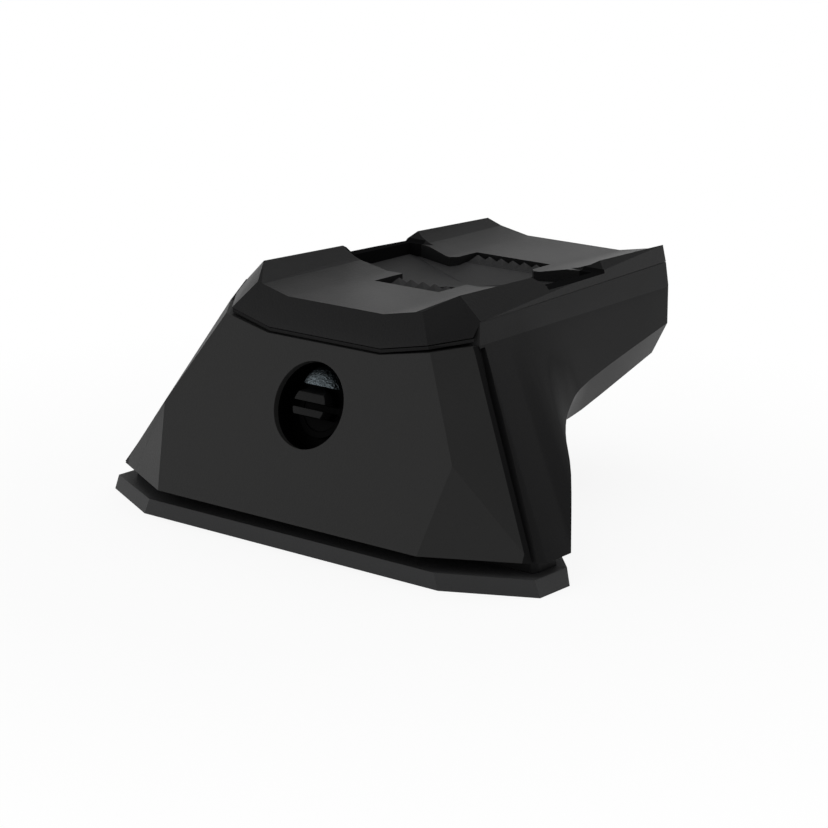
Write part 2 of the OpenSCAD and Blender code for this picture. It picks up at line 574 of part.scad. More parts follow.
// Front cover
cover_top = [[19.6, 53.6], [35.9, 56.5], [43.5, 57.6]];
cover_side_x = [foot_x - 5.2, cover_top[2][0]];
module cover_hull(t) {
    top_z = cover_top[2][1];
    hull_of(mirrored([
        [face_foot_w / 2 - t * 0.5, face_y(foot_z) + t, foot_z + t * 0.8],
        [cover_side_x[0] - t * 1.2, part_y(foot_z) + t * 0.2, foot_z + t * 0.8],
        [cover_side_x[0] - t * 1.2, part_y(foot_z) + t * 3, foot_z + t * 0.8],
        [face_mid_w / 2 - t * 0.7, face_y(face_mid_z) + t, face_mid_z],
        [cover_top[1][0] - t * 0.5, face_y(cover_top[1][1]) + t, cover_top[1][1]],
        [cover_side_x[1] - t, part_y(top_z) + t * 0.2, top_z],
        [cover_side_x[1] - t, part_y(top_z) + t * 3, top_z]]));
}
module cover_front_view(drop) polygon([[-pad_w, 0], [pad_w, 0], [pad_w, cover_top[2][1] - drop],
    [cover_top[2][0], cover_top[2][1] - drop], [cover_top[1][0], cover_top[1][1] - drop], [cover_top[0][0], cover_top[0][1] - drop],
    [-cover_top[0][0], cover_top[0][1] - drop], [-cover_top[1][0], cover_top[1][1] - drop],
    [-cover_top[2][0], cover_top[2][1] - drop], [-pad_w, cover_top[2][1] - drop]]);

// Local frame of the lock: Z points out of the cover's face, Y points up along it
module at_lock() translate([0, face_y(lock_z), lock_z]) rotate([90 - face_lean, 0, 0]) children();
cup_wall = 1.1;
cup_r = lock_open_r + cup_wall;
cup_floor = -7.4;
cup_floor_t = 1.6;
sleeve_nut_r = 9.6;
sleeve_nut_t = 2.4;
sleeve_r = plug_r + plug_clear + sleeve_wall;
sleeve_z0 = -14.6;
sleeve_z1 = cup_floor + 1.6;
cam_z1 = -15.4;
cam_z0 = cam_z1 - cam_t;

module front_cover() color([0.2, 0.2, 0.21]) from_front() difference() {
    union() {
        difference() {
            intersection() {
                cover_hull(0);
                along_y(-10, 60) cover_front_view(0);
            }
            intersection() {
                cover_hull(cover_wall);
                along_y(-10, 60) cover_front_view(cover_wall * 0.85);
            }
        }
        at_lock() translate([0, 0, cup_floor - cup_floor_t]) cylinder(h = -cup_floor + cup_floor_t - 1.2, r = cup_r);
        for (x = [-1, 1], z = peg_z) {
            rod_y(face_y(z + boss_r) + 1.2, part_y(z - boss_r), boss_r, z, x * peg_x);
            rod_y(part_y(z - boss_r) - 1, part_y(z) + peg_l, peg_r, z, x * peg_x);
        }
    }
    at_lock() translate([0, 0, cup_floor]) cylinder(h = 20, r = cup_r - cup_wall);
    // Shadow groove beside the tower
    difference() {
        along_parting(-groove_cover, 1);
        cover_hull(groove_t);
    }
    // Room over the head of the clamp screw
    rod_y(face_y(screw_z) + cover_wall + 1, wall_y0 + 4, head_r + seat_gap, screw_z);
    at_lock() translate([0, 0, -30]) cylinder(h = 60, r = sleeve_r - 0.6 + seat_gap);
    at_lock() translate([0, 0, -cover_wall - 1]) cylinder(h = 20, r = lock_open_r);
}

module lock_sleeve() color([0.07, 0.07, 0.08]) from_front() at_lock() difference() {
    union() {
        translate([0, 0, cup_floor]) cylinder(h = sleeve_z1 - cup_floor, r = sleeve_r);
        translate([0, 0, sleeve_z0]) cylinder(h = cup_floor - sleeve_z0 + eps, r = sleeve_r - 0.6);
    }
    translate([0, 0, sleeve_z0 - 1]) cylinder(h = 20, r = plug_r + plug_clear);
}

module sleeve_nut() color([0.62, 0.63, 0.65]) from_front() at_lock() difference() {
    translate([0, 0, cup_floor - cup_floor_t - sleeve_nut_t]) cylinder(h = sleeve_nut_t, r = sleeve_nut_r);
    translate([0, 0, -30]) cylinder(h = 30, r = sleeve_r - 0.55);
}

guard_r = 4.5;
guard_y = rib_r + guard_r - 3.8;
module lock_guard() color([0.5, 0.51, 0.53]) from_front() at_lock() difference() {
    intersection() {
        translate([0, guard_y, sleeve_z1]) sphere(r = guard_r);
        translate([-guard_r, rib_r + seat_gap, cup_floor]) cube([2 * guard_r, 2 * guard_r, 2 * guard_r]);
    }
    translate([0, 0, cup_floor - 1]) cylinder(h = sleeve_z1 - cup_floor + 1, r = sleeve_r + 0.02);
}

// Plug with two ribs to turn it by; the upper one has a sloping back
plug_z1 = sleeve_z1 - 0.2;
rib_z1 = plug_z1 + rib_l;
rib_slope = [2, 3.4];
module lock_plug() color([0.11, 0.11, 0.12]) from_front() at_lock() difference() {
    union() {
        translate([0, 0, cam_z1]) cylinder(h = plug_z1 - cam_z1, r = plug_r);
        intersection() {
            translate([0, 0, plug_z1 - eps]) cylinder(h = rib_l + eps, r = rib_r);
            along_x(-rib_r, rib_r) {
                polygon([[rib_slot / 2, plug_z1 - 1], [rib_slot / 2, rib_z1], [rib_slot / 2 + rib_h, rib_z1],
                    [rib_slot / 2 + rib_h + rib_slope[0], rib_z1 - rib_slope[1]],
                    [rib_slot / 2 + rib_h + rib_slope[0], plug_z1 - 1]]);
                polygon([[-rib_slot / 2, plug_z1 - 1], [-rib_slot / 2, rib_z1],
                    [-rib_slot / 2 - rib_h + 0.4, rib_z1], [-rib_slot / 2 - rib_h + 0.4, plug_z1 - 1]]);
            }
        }
    }
    translate([0, 0, cam_z1 - 1]) cylinder(h = 6, r = 1.5);
}

module lock_cam() color([0.6, 0.61, 0.63]) from_front() at_lock() difference() {
    union() {
        translate([0, 0, cam_z0]) cylinder(h = cam_t, r = 6);
        translate([-cam_w / 2, 0, cam_z0]) cube([cam_w, cam_r - cam_w / 2, cam_t]);
        translate([0, cam_r - cam_w / 2, cam_z0]) cylinder(h = cam_t, r = cam_w / 2);
    }
    translate([0, 0, cam_z0 - 1]) cylinder(h = 9, r = 1.6);
}

module cam_screw() color([0.55, 0.56, 0.58]) from_front() at_lock() {
    translate([0, 0, cam_z0 - 1.8]) cylinder(h = 1.8, r = 3);
    translate([0, 0, cam_z0 - eps]) cylinder(h = cam_t + 4.6, r = 1.5);
}

keeper_x0 = 11.2;
keeper_l = 17;
keeper_h = 12;
keeper_t = 2;
keeper_z0 = cam_z1 + 0.4;
keeper_screw_x = 23.5;
keeper_screw_y = 3.2;
module keeper_plate() color([0.62, 0.63, 0.65]) from_front() at_lock() difference() {
    translate([keeper_x0, -keeper_h / 2, keeper_z0]) cube([keeper_l, keeper_h, keeper_t]);
    for (y = [-1, 1]) translate([keeper_screw_x, y * keeper_screw_y, keeper_z0 - 1]) cylinder(h = 4, r = 1.6);
}
module keeper_screw(y) color([0.55, 0.56, 0.58]) from_front() at_lock() translate([keeper_screw_x, y, keeper_z0]) {
    translate([0, 0, keeper_t]) cylinder(h = 1.4, r = 2.6);
    translate([0, 0, -6]) cylinder(h = 6 + keeper_t + eps, r = 1.5);
}
module keeper_screw_top() keeper_screw(keeper_screw_y);
module keeper_screw_bottom() keeper_screw(-keeper_screw_y);

// Base clamp
head_r = screw_r + 2;
head_h = 6;
washer_t = 1.6;
washer_r = head_r + 1;
screw_end_y = rail_y + 3;
module clamp_screw() color([0.6, 0.61, 0.63]) from_front() difference() {
    union() {
        rod_y(wall_y0 - washer_t - head_h, wall_y0 - washer_t, head_r, screw_z);
        rod_y(wall_y0 - washer_t - eps, wall_y1 + 0.3, screw_r, screw_z);
        rod_y(wall_y1 + 0.2, wall_y1 + 1.5, screw_r - 0.8, screw_z);
        rod_y(wall_y1 + 1.4, screw_end_y, screw_r, screw_z);
    }
    translate([0, wall_y0 - washer_t - head_h + 4, screw_z]) rotate([90, 0, 0]) cylinder(h = 6, r = 2.9, $fn = 6);
}
module clamp_washer() color([0.66, 0.67, 0.69]) from_front() difference() {
    rod_y(wall_y0 - washer_t, wall_y0, washer_r, screw_z);
    rod_y(0, 40, screw_r + 0.3, screw_z);
}
module clamp_ring() color([0.3, 0.3, 0.31]) from_front() difference() {
    rod_y(wall_y1 + 0.35, wall_y1 + 1.35, screw_r + 1.9, screw_z);
    rod_y(0, 40, screw_r - 0.75, screw_z);
}
module clamp_hook() color([0.5, 0.51, 0.53]) from_front() difference() {
    along_x(-hook_w / 2, hook_w / 2) polygon([
        [hook_y0, shoe_top_z + seat_gap], [rail_y - rail_neck_d / 2 - 0.4, shoe_top_z + seat_gap],
        [rail_y - rail_neck_d / 2 - 0.4, neck_z - 0.4], [rail_y - rail_neck_d / 2 - rail_lip - 0.4, neck_z - 0.4],
        [rail_y - rail_neck_d / 2 - rail_lip - 0.4, rail_top_z + 0.4], [rail_y - 1, rail_top_z + 0.4],
        [rail_y - 1, hook_top_z], [hook_y0 + 1.5, hook_top_z], [hook_y0, hook_top_z - 1.5]]);
    rod_y(0, 90, screw_r + screw_clear, screw_z);
}

base_pad();
base_shoe();
foot_body();
saddle_cap();
grip_plate();
front_cover();
lock_sleeve();
sleeve_nut();
lock_guard();
lock_plug();
lock_cam();
cam_screw();
keeper_plate();
keeper_screw_top();
keeper_screw_bottom();
clamp_screw();
clamp_washer();
clamp_ring();
clamp_hook();
bar_nut();
grip_screw_left();
grip_screw_right();
cap_screw_front_left();
cap_screw_front_right();
cap_screw_rear_left();
cap_screw_rear_right();
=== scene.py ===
# Roof bar foot, dressed in the order in which the real one is put together.
# Metres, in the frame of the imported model: X across the bar, Y inward along it, Z up from the roof.
import math

import bmesh
import bpy
from mathutils import Matrix, Vector


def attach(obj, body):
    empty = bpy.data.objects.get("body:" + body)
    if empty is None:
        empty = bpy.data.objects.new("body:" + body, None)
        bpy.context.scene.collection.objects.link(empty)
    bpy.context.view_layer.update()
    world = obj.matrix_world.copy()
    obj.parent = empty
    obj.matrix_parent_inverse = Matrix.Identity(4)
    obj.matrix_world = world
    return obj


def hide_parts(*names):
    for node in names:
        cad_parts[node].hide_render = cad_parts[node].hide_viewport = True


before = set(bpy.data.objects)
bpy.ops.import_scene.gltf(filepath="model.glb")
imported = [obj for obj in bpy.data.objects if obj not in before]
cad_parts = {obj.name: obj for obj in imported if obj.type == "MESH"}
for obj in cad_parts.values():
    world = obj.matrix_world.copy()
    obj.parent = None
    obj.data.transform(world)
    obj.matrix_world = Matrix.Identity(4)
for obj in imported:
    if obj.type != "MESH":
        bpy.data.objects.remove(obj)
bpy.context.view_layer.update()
scene = bpy.context.scene

# --- Base pad -------------------------------------------------------------------------------------
# A moulded EPDM rubber pad that lies on the roof. It is a shade paler than the plastic above it,
# with a fine matt grain from the mould, dull rather than shiny, and soft rounded edges.


def add_node(material, kind, **settings):
    node = material.node_tree.nodes.new(kind)
    for key, value in settings.items():
        setattr(node, key, value)
    return node


def join_sockets(material, *pairs):
    for start, end in pairs:
        material.node_tree.links.new(start, end)


def moulded(name, colour, roughness, grain, depth, specular):
    """A moulded plastic or rubber: grained skin, slightly uneven colour and gloss."""
    mottle, gloss_spread, pit_share, clouds_per_metre = 0.12, 0.05, 0.5, 38.0
    material = bpy.data.materials.new(name)
    material.use_nodes = True
    nodes = material.node_tree.nodes
    shader = nodes["Principled BSDF"]
    place = add_node(material, "ShaderNodeTexCoord")
    skin = add_node(material, "ShaderNodeTexNoise")
    skin.inputs["Scale"].default_value = 1 / grain
    skin.inputs["Detail"].default_value = 3.0
    skin.inputs["Roughness"].default_value = 0.65
    pits = add_node(material, "ShaderNodeTexVoronoi")
    pits.inputs["Scale"].default_value = 0.8 / grain
    both = add_node(material, "ShaderNodeMath", operation="MULTIPLY_ADD")
    both.inputs[1].default_value = pit_share
    bump = add_node(material, "ShaderNodeBump")
    bump.inputs["Distance"].default_value = depth
    bump.inputs["Strength"].default_value = 1.0
    cloud = add_node(material, "ShaderNodeTexNoise")
    cloud.inputs["Scale"].default_value = clouds_per_metre
    cloud.inputs["Detail"].default_value = 5.0
    tone = add_node(material, "ShaderNodeMix", data_type="RGBA")
    tone.inputs["A"].default_value = (*[c * (1 - mottle) for c in colour], 1)
    tone.inputs["B"].default_value = (*[c * (1 + mottle) for c in colour], 1)
    gloss = add_node(material, "ShaderNodeMapRange")
    gloss.inputs["To Min"].default_value = roughness - gloss_spread
    gloss.inputs["To Max"].default_value = roughness + gloss_spread
    join_sockets(
        material,
        (place.outputs["Object"], skin.inputs["Vector"]),
        (place.outputs["Object"], pits.inputs["Vector"]),
        (place.outputs["Object"], cloud.inputs["Vector"]),
        (pits.outputs["Distance"], both.inputs[0]),
        (skin.outputs["Fac"], both.inputs[2]),
        (both.outputs["Value"], bump.inputs["Height"]),
        (bump.outputs["Normal"], shader.inputs["Normal"]),
        (cloud.outputs["Fac"], tone.inputs["Factor"]),
        (tone.outputs["Result"], shader.inputs["Base Color"]),
        (cloud.outputs["Fac"], gloss.inputs["Value"]),
        (gloss.outputs["Result"], shader.inputs["Roughness"]),
    )
    shader.inputs["Specular IOR Level"].default_value = specular
    return material


def edge_group(name, build):
    """Nodes that run after a piece's mesh, which itself stays as it is."""
    group = bpy.data.node_groups.new(name, "GeometryNodeTree")
    group.interface.new_socket("Geometry", in_out="INPUT", socket_type="NodeSocketGeometry")
    group.interface.new_socket("Geometry", in_out="OUTPUT", socket_type="NodeSocketGeometry")
    start = group.nodes.new("NodeGroupInput")
    end = group.nodes.new("NodeGroupOutput")
    group.links.new(build(group, start.outputs[0]), end.inputs[0])
    return group


def joined_faces(group, geometry):
    """Joins the faces of a CAD mesh along their shared edges."""
    bare = group.nodes.new("GeometryNodeRemoveAttribute")
    bare.inputs["Name"].default_value = "custom_normal"
    merge = group.nodes.new("GeometryNodeMergeByDistance")
    merge.inputs["Distance"].default_value = 2e-6
    group.links.new(geometry, bare.inputs["Geometry"])
    group.links.new(bare.outputs["Geometry"], merge.inputs["Geometry"])
    return merge.outputs["Geometry"]


def smooth_curves(group, geometry):
    """Shades curves smooth and leaves edges sharper than the limit crisp."""
    sharpest_curve = math.radians(32)
    angle = group.nodes.new("GeometryNodeInputMeshEdgeAngle")
    flat = group.nodes.new("ShaderNodeMath")
    flat.operation = "LESS_THAN"
    flat.inputs[1].default_value = sharpest_curve
    faces = group.nodes.new("GeometryNodeSetShadeSmooth")
    faces.domain = "FACE"
    edges = group.nodes.new("GeometryNodeSetShadeSmooth")
    edges.domain = "EDGE"
    group.links.new(geometry, faces.inputs["Geometry"])
    group.links.new(faces.outputs["Geometry"], edges.inputs["Geometry"])
    group.links.new(angle.outputs["Unsigned Angle"], flat.inputs[0])
    group.links.new(flat.outputs["Value"], edges.inputs["Shade Smooth"])
    return edges.outputs["Geometry"]


whole_faces = edge_group("whole_faces", joined_faces)
smooth_faces = edge_group("smooth_faces", smooth_curves)


def dress(node, material, edge, bend=24):
    """Gives a CAD piece its finish and rounds its moulded or machined edges."""
    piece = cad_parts[node]
    for old in piece.material_slots:
        old.material = material
    if not piece.material_slots:
        piece.data.materials.append(material)
    join = piece.modifiers.new("whole_faces", "NODES")
    join.node_group = whole_faces
    if edge:
        plain = piece.modifiers.new("plain_faces", "DECIMATE")
        plain.decimate_type = "DISSOLVE"
        plain.angle_limit = math.radians(0.4)
        round_edge = piece.modifiers.new("edge_radius", "BEVEL")
        round_edge.width = edge
        round_edge.segments = 2
        round_edge.limit_method = "ANGLE"
        round_edge.angle_limit = math.radians(bend)
    shade = piece.modifiers.new("smooth_faces", "NODES")
    shade.node_group = smooth_faces
    flats = piece.modifiers.new("flat_faces", "WEIGHTED_NORMAL")
    flats.keep_sharp = True
    flats.weight = 100


pad_rubber = moulded("pad_rubber", (0.03, 0.0303, 0.031), 0.62, 0.00045, 0.00005, specular=0.22)
dress("base_pad", pad_rubber, 0.0006)

# --- Base shoe ------------------------------------------------------------------------------------
# A die cast plate with a T-shaped rail, bolted to the roof through the pad. Its black powder coat
# has a faint orange peel, and only its edge shows, deep in the gap under the tower.
# The shoe's near black is partly its coat and partly painted shade for the gap under the tower.
coat_and_painted_shade = moulded("coat_and_painted_shade", (0.004, 0.004, 0.0042), 0.55, 0.0011, 0.00003, specular=0.12)
dress("base_shoe", coat_and_painted_shade, 0.0003)

# --- Tower and arm --------------------------------------------------------------------------------
# One thick glass filled nylon moulding: the tower, the arm and the ribs below it. Its skin is the
# darkest of the part, fine grained and even, with small radii along every parting edge.


def beyond(material, direction, distance):
    """One where the piece's point, mirrored to its right half, lies past a plane."""
    place = add_node(material, "ShaderNodeTexCoord")
    parts = add_node(material, "ShaderNodeSeparateXYZ")
    right_half = add_node(material, "ShaderNodeMath", operation="ABSOLUTE")
    point = add_node(material, "ShaderNodeCombineXYZ")
    along = add_node(material, "ShaderNodeVectorMath", operation="DOT_PRODUCT")
    along.inputs[1].default_value = direction
    past = add_node(material, "ShaderNodeMath", operation="GREATER_THAN")
    past.inputs[1].default_value = distance
    join_sockets(
        material,
        (place.outputs["Object"], parts.inputs["Vector"]),
        (parts.outputs["X"], right_half.inputs[0]),
        (right_half.outputs["Value"], point.inputs["X"]),
        (parts.outputs["Y"], point.inputs["Y"]),
        (parts.outputs["Z"], point.inputs["Z"]),
        (point.outputs["Vector"], along.inputs[0]),
        (along.outputs["Value"], past.inputs[0]),
    )
    return past.outputs["Value"]


def where_all(material, *masks):
    """One where every mask is one."""
    found = masks[0]
    for mask in masks[1:]:
        both = add_node(material, "ShaderNodeMath", operation="MULTIPLY")
        join_sockets(material, (found, both.inputs[0]), (mask, both.inputs[1]))
        found = both.outputs["Value"]
    return found


def paint_shading(material, mask, colour, specular):
    """Paints light or shade onto the masked part of a moulding, as another tone and shine."""
    shader = material.node_tree.nodes["Principled BSDF"]
    coat = add_node(material, "ShaderNodeMix", data_type="RGBA")
    coat.inputs["B"].default_value = (*colour, 1)
    shine = add_node(material, "ShaderNodeMix")
    shine.inputs["A"].default_value = shader.inputs["Specular IOR Level"].default_value
    shine.inputs["B"].default_value = specular
    shine_so_far = shader.inputs["Specular IOR Level"].links
    if shine_so_far:
        join_sockets(material, (shine_so_far[0].from_socket, shine.inputs["A"]))
    join_sockets(
        material,
        (shader.inputs["Base Color"].links[0].from_socket, coat.inputs["A"]),
        (mask, coat.inputs["Factor"]),
        (mask, shine.inputs["Factor"]),
        (coat.outputs["Result"], shader.inputs["Base Color"]),
        (shine.outputs["Result"], shader.inputs["Specular IOR Level"]),
    )


def facing(material, axis, start, full):
    """Rises from none to one as the surface's normal along an axis goes from start to full."""
    place = add_node(material, "ShaderNodeTexCoord")
    parts = add_node(material, "ShaderNodeSeparateXYZ")
    turned = add_node(material, "ShaderNodeMapRange")
    turned.inputs["From Min"].default_value = start
    turned.inputs["From Max"].default_value = full
    join_sockets(
        material,
        (place.outputs["Normal"], parts.inputs["Vector"]),
        (parts.outputs[axis], turned.inputs["Value"]),
    )
    return turned.outputs["Result"]


body_plastic = moulded("body_plastic", (0.0085, 0.0085, 0.0088), 0.52, 0.0004, 0.00003, specular=0.08)
# Faces turned inward along the bar, and not downward, are painted a shade paler and almost without gloss:
# painted light in place of the reflection they would show.
inward_painted_light = where_all(
    body_plastic, facing(body_plastic, "Y", 0.08, 0.3), facing(body_plastic, "Z", -0.15, 0.0)
)
paint_shading(body_plastic, inward_painted_light, (0.0095, 0.0095, 0.0098), 0.02)
# Faces turned downward are painted paler and glossier: a painted reflection of the pale table below.
underside_painted_reflection = facing(body_plastic, "Z", -0.3, -0.5)
paint_shading(body_plastic, underside_painted_reflection, (0.014, 0.014, 0.0143), 0.3)
# The band above the shoulder line is painted paler and a little glossier: painted light along the upper
# side.
shoulder_painted_light = beyond(body_plastic, (0, 0.028, 1), 0.0575)
paint_shading(body_plastic, shoulder_painted_light, (0.0125, 0.0125, 0.0128), 0.1)
dress("foot_body", body_plastic, 0.0007)

# --- Base clamp -----------------------------------------------------------------------------------
# A plated socket head screw with its washer draws a cast hook against the rail of the shoe. All of
# it sits behind the cover and is seen only when the cover is pulled off.


def bare_metal(name, colour, roughness, blotch, brushed=0.0, pitted=0.00002, grain=3200):
    """A plated or cast metal: patchy tone and gloss, with fine drawn lines where it is brushed."""
    darkest_patch, gloss_spread = 0.82, 0.08
    material = bpy.data.materials.new(name)
    material.use_nodes = True
    shader = material.node_tree.nodes["Principled BSDF"]
    shader.inputs["Metallic"].default_value = 1.0
    place = add_node(material, "ShaderNodeTexCoord")
    cloud = add_node(material, "ShaderNodeTexNoise")
    cloud.inputs["Scale"].default_value = 1 / blotch
    cloud.inputs["Detail"].default_value = 6.0
    stretch = add_node(material, "ShaderNodeMapping")
    stretch.inputs["Scale"].default_value = (1.0, 1.0, 1.0 + brushed)
    lines = add_node(material, "ShaderNodeTexNoise")
    lines.inputs["Scale"].default_value = grain / (1.0 + brushed)
    lines.inputs["Detail"].default_value = 2.0
    tone = add_node(material, "ShaderNodeMix", data_type="RGBA")
    tone.inputs["A"].default_value = (*[c * darkest_patch for c in colour], 1)
    tone.inputs["B"].default_value = (*colour, 1)
    gloss = add_node(material, "ShaderNodeMapRange")
    gloss.inputs["To Min"].default_value = roughness - gloss_spread
    gloss.inputs["To Max"].default_value = roughness + gloss_spread
    bump = add_node(material, "ShaderNodeBump")
    bump.inputs["Distance"].default_value = pitted
    join_sockets(
        material,
        (place.outputs["Object"], cloud.inputs["Vector"]),
        (place.outputs["Object"], stretch.inputs["Vector"]),
        (stretch.outputs["Vector"], lines.inputs["Vector"]),
        (cloud.outputs["Fac"], tone.inputs["Factor"]),
        (tone.outputs["Result"], shader.inputs["Base Color"]),
        (cloud.outputs["Fac"], gloss.inputs["Value"]),
        (gloss.outputs["Result"], shader.inputs["Roughness"]),
        (lines.outputs["Fac"], bump.inputs["Height"]),
        (bump.outputs["Normal"], shader.inputs["Normal"]),
    )
    return material


plated_steel = bare_metal("plated_steel", (0.6, 0.61, 0.63), 0.34, 0.003, brushed=12.0)
for node in ("clamp_screw", "clamp_washer", "clamp_ring"):
    dress(node, plated_steel, 0.00025)
cast_metal = bare_metal("cast_metal", (0.55, 0.56, 0.58), 0.5, 0.004)
dress("clamp_hook", cast_metal, 0.0004)

# --- Keeper, bar nut and small screws -------------------------------------------------------------
# The keeper is a stamped plate that the lock's cam goes behind, held by two screws. The hexagon nut
# takes the bar's bolt, and six more screws hold the grip plate and the saddle cap. All are plated.
for node in (
    "keeper_plate", "keeper_screw_top", "keeper_screw_bottom", "bar_nut",
    "grip_screw_left", "grip_screw_right", "cap_screw_front_left", "cap_screw_front_right",
    "cap_screw_rear_left", "cap_screw_rear_right",
):
    dress(node, plated_steel, 0.0002)

# --- Grip plate -----------------------------------------------------------------------------------
# A rubber plate let into the arm under the bar: two rows of pyramid teeth and a dished middle with
# the hole for the bar's bolt. It is matt and a little paler than the plastic round it.
grip_rubber = moulded("grip_rubber", (0.022, 0.022, 0.0226), 0.6, 0.0004, 0.00005, specular=0.24)
dress("grip_plate", grip_rubber, 0.0002)

# --- Saddle cap -----------------------------------------------------------------------------------
# The moulded cap that carries the bar: a flat floor with sloping sides, two long lips and a nose
# that runs down to the cover. Its skin is satin, and the walls of the recess are painted darker and
# without gloss as painted shade.
saddle_plastic = moulded("saddle_plastic", (0.0075, 0.0075, 0.0078), 0.4, 0.0005, 0.00004, specular=0.12)
beside_recess = where_all(
    saddle_plastic,
    beyond(saddle_plastic, (1, 0, 0), 0.0285),
    beyond(saddle_plastic, (0, 1, 0), 0.0372),
    beyond(saddle_plastic, (0, -1, 0), -0.0655),
    beyond(saddle_plastic, (0, 0, -1), -0.0655),
)
wall_top = beyond(saddle_plastic, (0, 0.0153, 1), 0.0654)
inner_wall = where_all(
    saddle_plastic,
    beyond(saddle_plastic, (-1, 0, 0), -0.0335),
    beyond(saddle_plastic, (0, 0, 1), 0.06),
)
# The top and the inner face of the walls beside the recess are painted darker and without gloss: painted
# shade.
for wall in (wall_top, inner_wall):
    recess_wall_painted_shade = where_all(saddle_plastic, beside_recess, wall)
    paint_shading(saddle_plastic, recess_wall_painted_shade, (0.005, 0.005, 0.0052), 0.0)
dress("saddle_cap", saddle_plastic, 0.0006)

# --- Front cover ----------------------------------------------------------------------------------
# A moulded shell on four pegs, with a round opening and a cup behind it for the lock. The face is
# finely grained and even, and the edges between its facets have a radius of about a millimetre.
cover_plastic = moulded("cover_plastic", (0.0188, 0.0188, 0.0187), 0.5, 0.0005, 0.00004, specular=0.16)
lock_mouth, lock_outward = Vector((0, -0.018876, 0.0379)), Vector((0, -0.93789, 0.34694))
cup_radius, rim_depth = 0.0123, 0.0019


def in_cup(material):
    """One inside the round opening for the lock, from just under its rim."""
    place = add_node(material, "ShaderNodeTexCoord")
    from_mouth = add_node(material, "ShaderNodeVectorMath", operation="SUBTRACT")
    from_mouth.inputs[1].default_value = lock_mouth
    depth = add_node(material, "ShaderNodeVectorMath", operation="DOT_PRODUCT")
    depth.inputs[1].default_value = lock_outward
    along = add_node(material, "ShaderNodeVectorMath", operation="SCALE")
    along.inputs[0].default_value = lock_outward
    across = add_node(material, "ShaderNodeVectorMath", operation="SUBTRACT")
    radius = add_node(material, "ShaderNodeVectorMath", operation="LENGTH")
    inside = add_node(material, "ShaderNodeMath", operation="LESS_THAN")
    inside.inputs[1].default_value = cup_radius
    below = add_node(material, "ShaderNodeMath", operation="LESS_THAN")
    below.inputs[1].default_value = -rim_depth
    join_sockets(
        material,
        (place.outputs["Object"], from_mouth.inputs[0]),
        (from_mouth.outputs["Vector"], depth.inputs[0]),
        (depth.outputs["Value"], along.inputs["Scale"]),
        (from_mouth.outputs["Vector"], across.inputs[0]),
        (along.outputs["Vector"], across.inputs[1]),
        (across.outputs["Vector"], radius.inputs[0]),
        (radius.outputs["Value"], inside.inputs[0]),
        (depth.outputs["Value"], below.inputs[0]),
    )
    return where_all(material, inside.outputs["Value"], below.outputs["Value"])


# The lower corners take the plain finish, copied before the painted shade goes into the cup
corner_plastic = cover_plastic.copy()
corner_plastic.name = "corner_plastic"
# Inside the lock's cup, below its rim, the cover is painted near black and nearly without gloss: painted
# shade in the hollow.
paint_shading(cover_plastic, in_cup(cover_plastic), (0.0006, 0.0006, 0.0007), 0.02)
dress("front_cover", cover_plastic, 0.0009, bend=8)

# --- Lower corners of the front cover -------------------------------------------------------------
# The cover's sides flare at the foot until they stand flush with the tower. Each flare is part of
# the same moulding, with painted shade along its back edge, and runs out at the top of the side.
# Behind the parting plane the flare is painted darker and less glossy: painted shade of the gap.
back_edge_painted_shade = beyond(corner_plastic, (0, 1, -0.2918), -0.01963)
paint_shading(corner_plastic, back_edge_painted_shade, (0.006, 0.006, 0.0062), 0.05)
# Points of the cover's right half: the edge of its face and the back edge of its side
face_foot, face_mid = Vector((0.04605, -0.0299, 0.0081)), Vector((0.0509, -0.02143, 0.031))
side_foot, side_top = Vector((0.0696, -0.0176, 0.0081)), Vector((0.0435, -0.0018, 0.0576))
face_top = Vector((0.0359, -0.012, 0.0565))
root_share, tip_share, head_share, proud = 0.22, -0.128, 0.26, 0.00001
flare_root, flare_tip = side_foot.lerp(face_foot, root_share), side_foot.lerp(face_foot, tip_share)
flare_head = side_top.lerp(face_top, head_share)
for side, name in ((-1, "cover_corner_left"), (1, "cover_corner_right")):
    skin = bmesh.new()
    for corner in (face_mid, flare_root, flare_tip, side_top, flare_head):
        skin.verts.new((side * (corner.x + proud), corner.y - proud, corner.z))
    bmesh.ops.convex_hull(skin, input=skin.verts)
    bmesh.ops.recalc_face_normals(skin, faces=skin.faces)
    flare_mesh = bpy.data.meshes.new(name)
    skin.to_mesh(flare_mesh)
    skin.free()
    flare_mesh.materials.append(corner_plastic)
    flare = bpy.data.objects.new(name, flare_mesh)
    scene.collection.objects.link(flare)
    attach(flare, "cover")

# --- Lock sleeve, nut and guard -------------------------------------------------------------------
# The black sleeve passes through the cup and is held behind it by a plated nut. A small dome of
# sandblasted steel guards the upper half of the plug.
# The sleeve is black, and painted near black beyond that as painted shade inside the cup.
sleeve_black_and_shade = moulded("sleeve_black_and_shade", (0.0008, 0.0008, 0.0009), 0.6, 0.0006, 0.00002, specular=0.03)
dress("lock_sleeve", sleeve_black_and_shade, 0.0002)
dress("sleeve_nut", plated_steel, 0.0002)
blasted_steel = bare_metal("blasted_steel", (0.125, 0.149, 0.162), 0.3, 0.0009, pitted=0.0005, grain=1500)
guard_radius, guard_squash = 0.0064, 0.92
guard_up, guard_out, guard_foot, guard_back = 0.0051, -0.0058, 0.00565, -0.0072
